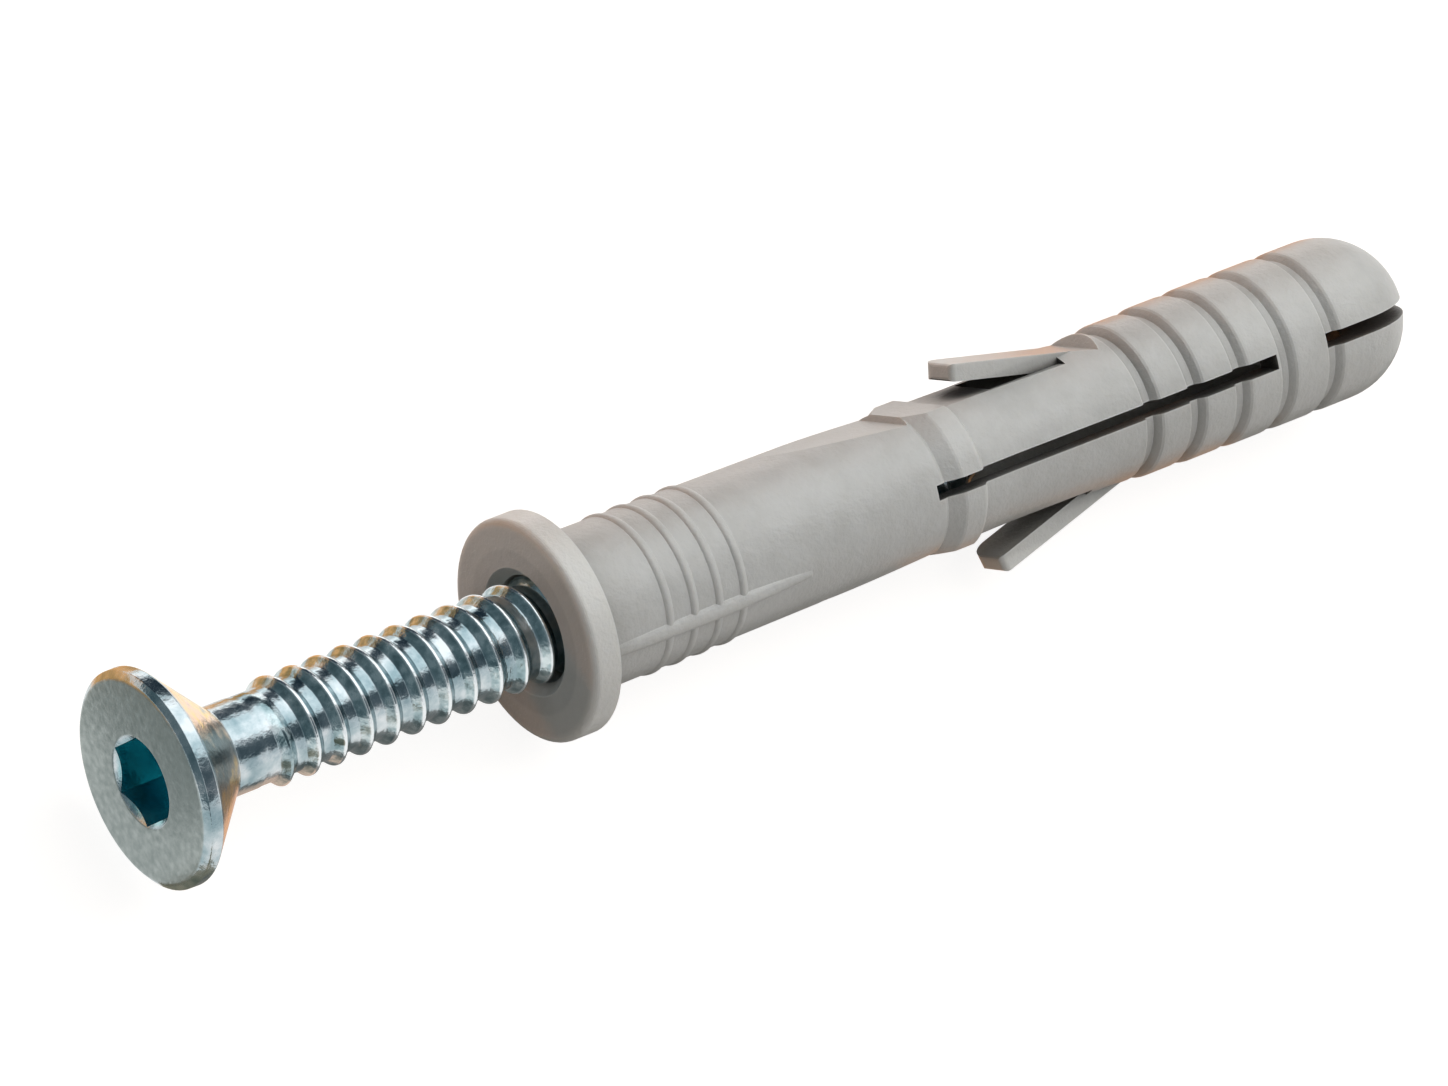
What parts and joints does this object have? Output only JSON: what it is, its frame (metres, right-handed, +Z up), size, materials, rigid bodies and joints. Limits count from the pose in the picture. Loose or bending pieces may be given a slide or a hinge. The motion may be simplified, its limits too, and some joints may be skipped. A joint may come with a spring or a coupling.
{
  "type": "nylon frame anchor",
  "caption": "Slotted nylon expansion sleeve with a collar, ring ribs and two splayed wings, and a countersunk hexagon-socket screw started in its bore.",
  "frame": {"origin": "centre of the collar's seat face, on the sleeve's axis", "axes": "+X along the axis from the collar to the nose, +Z up as the anchor lies on a surface"},
  "size_m": [0.096, 0.0142, 0.0142],
  "materials": {
    "nylon": "soft matt, light warm grey",
    "zinc": "bright zinc plating, bluish"
  },
  "bodies": {
    "sleeve": {"sleeve": "nylon"},
    "screw": {"screw": "zinc"}
  },
  "joints": [
    {"name": "screw_drive", "type": "slide", "parent": "sleeve", "child": "screw", "axis": [1, 0, 0], "range_m": [-0.036, 0.0237]}
  ]
}
